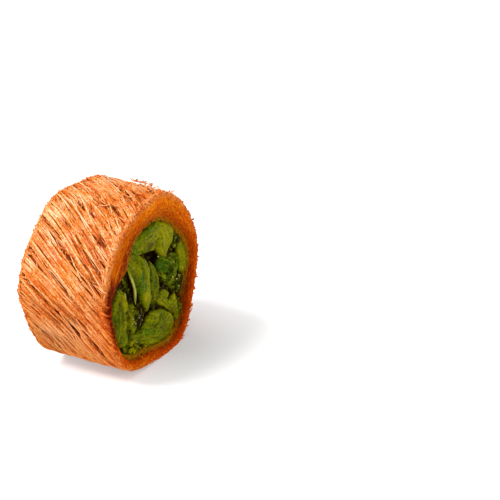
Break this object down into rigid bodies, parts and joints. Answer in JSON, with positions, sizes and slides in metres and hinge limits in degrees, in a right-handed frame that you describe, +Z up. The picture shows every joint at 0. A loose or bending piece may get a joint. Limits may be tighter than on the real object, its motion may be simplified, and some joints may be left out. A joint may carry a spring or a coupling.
{
  "type": "pistachio kadayif roll",
  "caption": "Short roll of golden shredded pastry wound round a green pistachio filling that shows at both cut ends, lying on its side.",
  "frame": {"origin": "under the middle of the roll, on the surface that it rests on", "axes": "+X along the roll's axis towards the shown cut end, +Z up, the shown side faces -Y"},
  "size_m": [0.0226, 0.0432, 0.0403],
  "materials": {
    "shredded_pastry": "baked golden-brown pastry strands with a thin syrup gloss",
    "pistachio": "peeled green pistachio kernels, slightly moist"
  },
  "bodies": {
    "root": {"pastry_roll": "shredded_pastry", "pistachio_filling": "pistachio"}
  },
  "joints": []
}
